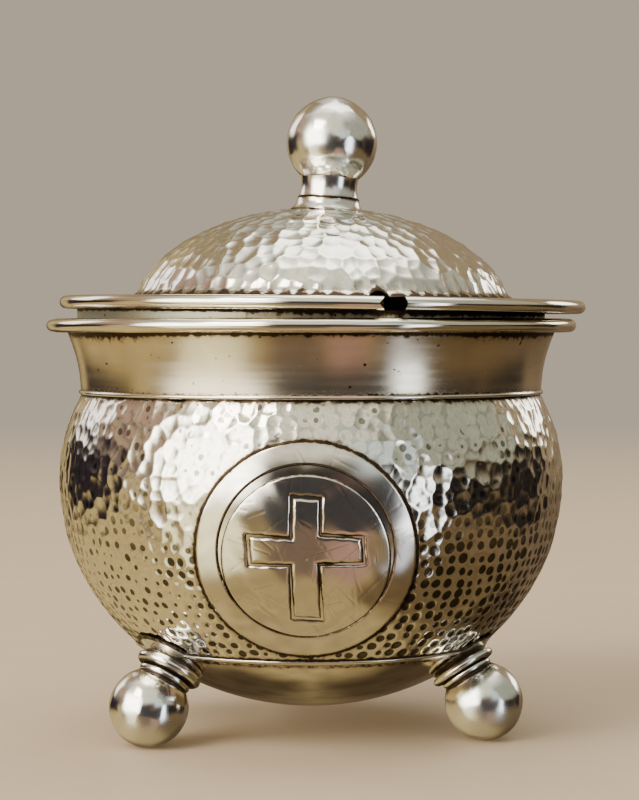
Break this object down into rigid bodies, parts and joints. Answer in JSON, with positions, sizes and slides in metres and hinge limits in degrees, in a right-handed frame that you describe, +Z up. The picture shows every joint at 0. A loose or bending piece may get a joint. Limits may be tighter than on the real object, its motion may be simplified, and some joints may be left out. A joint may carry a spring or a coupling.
{
  "type": "incense pot",
  "caption": "Hammered silver incense pot with a flared neck, ball feet, a round engraved medallion and a domed lift-off lid with a ball knob and a spoon slot.",
  "frame": {"origin": "on the table, under the middle of the pot: the bowl's axis is the Z axis", "axes": "+Z up, the medallion faces -Y, +X to the right as seen from the front"},
  "size_m": [0.1023, 0.1006, 0.1202],
  "materials": {
    "hammered_silver": "hand-hammered and polished silver, brown tarnish in the dents",
    "hammered_silver_lid": "hand-hammered and polished silver",
    "satin_silver": "satin silver with fine scratches running round it",
    "polished_wire": "polished silver wire",
    "polished_rim": "polished silver, rounded edge",
    "dull_silver": "dull grey-green silver",
    "medallion_silver": "smooth polished silver with engraved lines",
    "polished_silver": "polished silver, slightly uneven from the hammer",
    "plain_steel": "plain machined steel"
  },
  "bodies": {
    "pot": {"bowl": "hammered_silver", "base_wire": "polished_wire", "neck_band": "satin_silver", "neck_wire": "polished_wire", "rim_wire": "polished_rim", "mouth_lip": "dull_silver", "medallion_ring": "medallion_silver", "medallion_disc": "medallion_silver", "foot_ball_left": "polished_silver", "foot_ring_small_left": "polished_silver", "foot_ring_large_left": "polished_silver", "foot_seat_left": "polished_silver", "foot_ball_right": "polished_silver", "foot_ring_small_right": "polished_silver", "foot_ring_large_right": "polished_silver", "foot_seat_right": "polished_silver", "foot_ball_back": "polished_silver", "foot_ring_small_back": "polished_silver", "foot_ring_large_back": "polished_silver", "foot_seat_back": "polished_silver"},
    "lid": {"lid_flange": "polished_rim", "lid_dome": "hammered_silver_lid", "lid_bezel": "dull_silver", "knob_collar": "polished_silver", "knob_neck": "polished_silver", "knob_ball": "polished_silver", "knob_stud": "plain_steel", "knob_washer": "plain_steel", "knob_nut": "plain_steel"}
  },
  "joints": [
    {"name": "lid_lift", "type": "slide", "parent": "pot", "child": "lid", "axis": [0, 0, 1], "range_m": [0, 0.05]}
  ]
}
